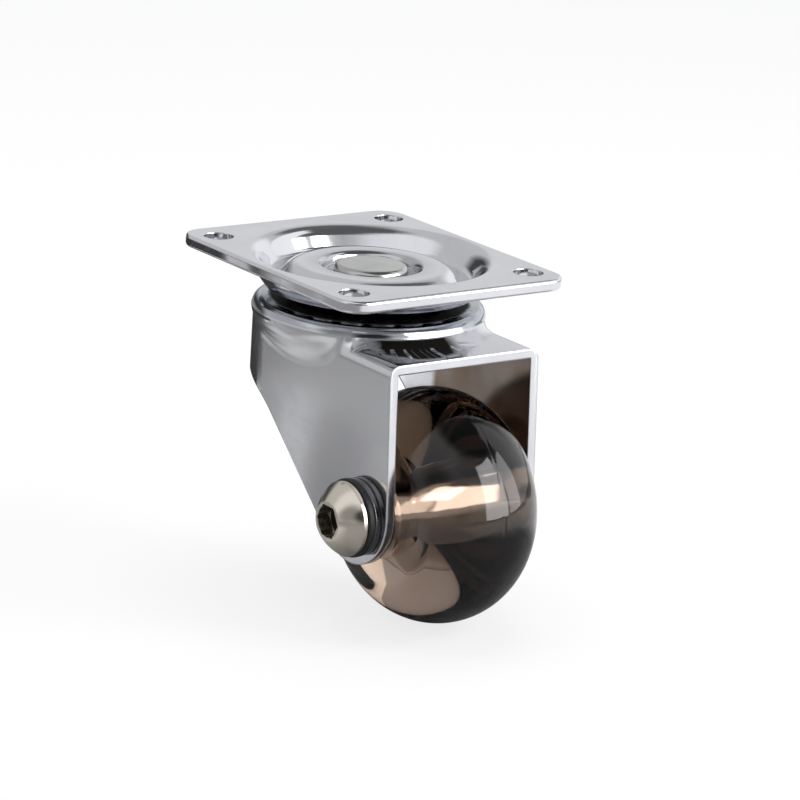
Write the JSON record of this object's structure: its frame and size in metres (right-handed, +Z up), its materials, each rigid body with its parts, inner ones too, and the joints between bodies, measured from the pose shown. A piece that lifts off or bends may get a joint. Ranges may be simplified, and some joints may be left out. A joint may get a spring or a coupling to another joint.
{
  "type": "swivel caster",
  "caption": "Swivel caster: bright plated mounting plate, pressed fork that turns on bearing balls, and a smoked clear barrel wheel on a through bolt with a domed head.",
  "frame": {"origin": "where the swivel axis meets the top face of the mounting plate, at the centre of its bolt holes", "axes": "+Z up out of the plate's top face along the swivel axis, +X from the swivel axis towards the axle, Y along the axle with the bolt head on -Y"},
  "size_m": [0.0852, 0.0564, 0.0727],
  "materials": {
    "bright_plate": "bright polished plating",
    "pin_steel": "satin plated steel",
    "ball_steel": "greased bearing steel",
    "bolt_nickel": "warm bright nickel",
    "washer_steel": "bright steel",
    "tube_steel": "drawn bright steel",
    "black_rubber": "matt",
    "nylon": "smooth",
    "smoked_plastic": "smoked clear, polished"
  },
  "bodies": {
    "plate": {"top_plate": "bright_plate", "kingpin": "pin_steel", "lower_race": "bright_plate"},
    "fork": {"fork": "bright_plate", "axle_bolt": "bolt_nickel", "sealing_washer": "black_rubber", "bolt_washer": "washer_steel", "axle_barrel": "bolt_nickel", "axle_tube": "tube_steel", "thrust_washer_left": "nylon", "thrust_washer_right": "nylon"},
    "wheel": {"wheel": "smoked_plastic", "hub_sleeve": "tube_steel"},
    "upper_row": {"upper_balls": "ball_steel"},
    "lower_row": {"lower_balls": "ball_steel"}
  },
  "joints": [
    {"name": "swivel", "type": "hinge", "parent": "plate", "child": "fork", "pos_m": [0, 0, 0], "axis": [0, 0, 1], "continuous": true},
    {"name": "wheel_spin", "type": "hinge", "parent": "fork", "child": "wheel", "pos_m": [0.0272, 0, -0.0477], "axis": [0, 1, 0], "continuous": true},
    {"name": "upper_balls_roll", "type": "hinge", "parent": "plate", "child": "upper_row", "pos_m": [0, 0, -0.0078], "axis": [0, 0, 1], "continuous": true},
    {"name": "lower_balls_roll", "type": "hinge", "parent": "plate", "child": "lower_row", "pos_m": [0, 0, -0.0142], "axis": [0, 0, 1], "continuous": true}
  ],
  "couplings": [
    {"joint": "upper_balls_roll", "follows": "swivel", "ratio": 0.5},
    {"joint": "lower_balls_roll", "follows": "swivel", "ratio": 0.5}
  ]
}
